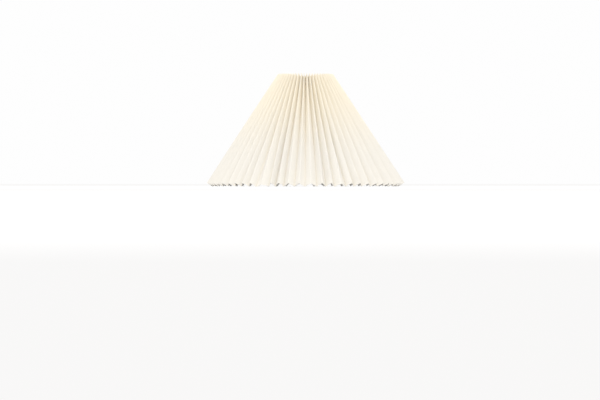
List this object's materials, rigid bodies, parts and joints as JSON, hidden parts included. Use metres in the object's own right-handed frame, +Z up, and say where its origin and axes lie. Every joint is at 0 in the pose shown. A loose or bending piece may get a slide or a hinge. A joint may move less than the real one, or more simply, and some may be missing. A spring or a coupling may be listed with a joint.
{
  "type": "lamp shade",
  "caption": "Steep conical lamp shade of accordion-pleated cream cloth sewn to a white wire frame, open at top and bottom, with a ring fitter for a threaded lampholder.",
  "frame": {"origin": "on the shade's axis, in the plane of the pleats' lowest points, where the shade stands on a table when it is off its lamp", "axes": "+Z up along the shade's axis, from the wide opening to the narrow one; +X towards strut 1, with a fitter arm along -Y"},
  "size_m": [0.3, 0.3, 0.1713],
  "materials": {
    "cover_fabric": "matt woven cotton and linen cloth, cream, pressed into sharp pleats",
    "backing_film": "thin white translucent film laminated to the back of the cloth",
    "seam_tape": "thin frosted tape along the glued seam",
    "thread": "twisted cream sewing thread",
    "frame_paint": "steel wire and plate, white powder coat"
  },
  "bodies": {
    "root": {"pleated_fabric": "cover_fabric", "backing_film": "backing_film", "seam_tape": "seam_tape", "gather_thread": "thread", "top_stitches": "thread", "bottom_stitches": "thread", "top_ring": "frame_paint", "bottom_ring": "frame_paint", "fitter_ring": "frame_paint", "strut_1": "frame_paint", "strut_2": "frame_paint", "strut_3": "frame_paint", "strut_4": "frame_paint", "strut_5": "frame_paint", "strut_6": "frame_paint", "fitter_arm_1": "frame_paint", "fitter_arm_2": "frame_paint", "fitter_arm_3": "frame_paint"}
  },
  "joints": []
}
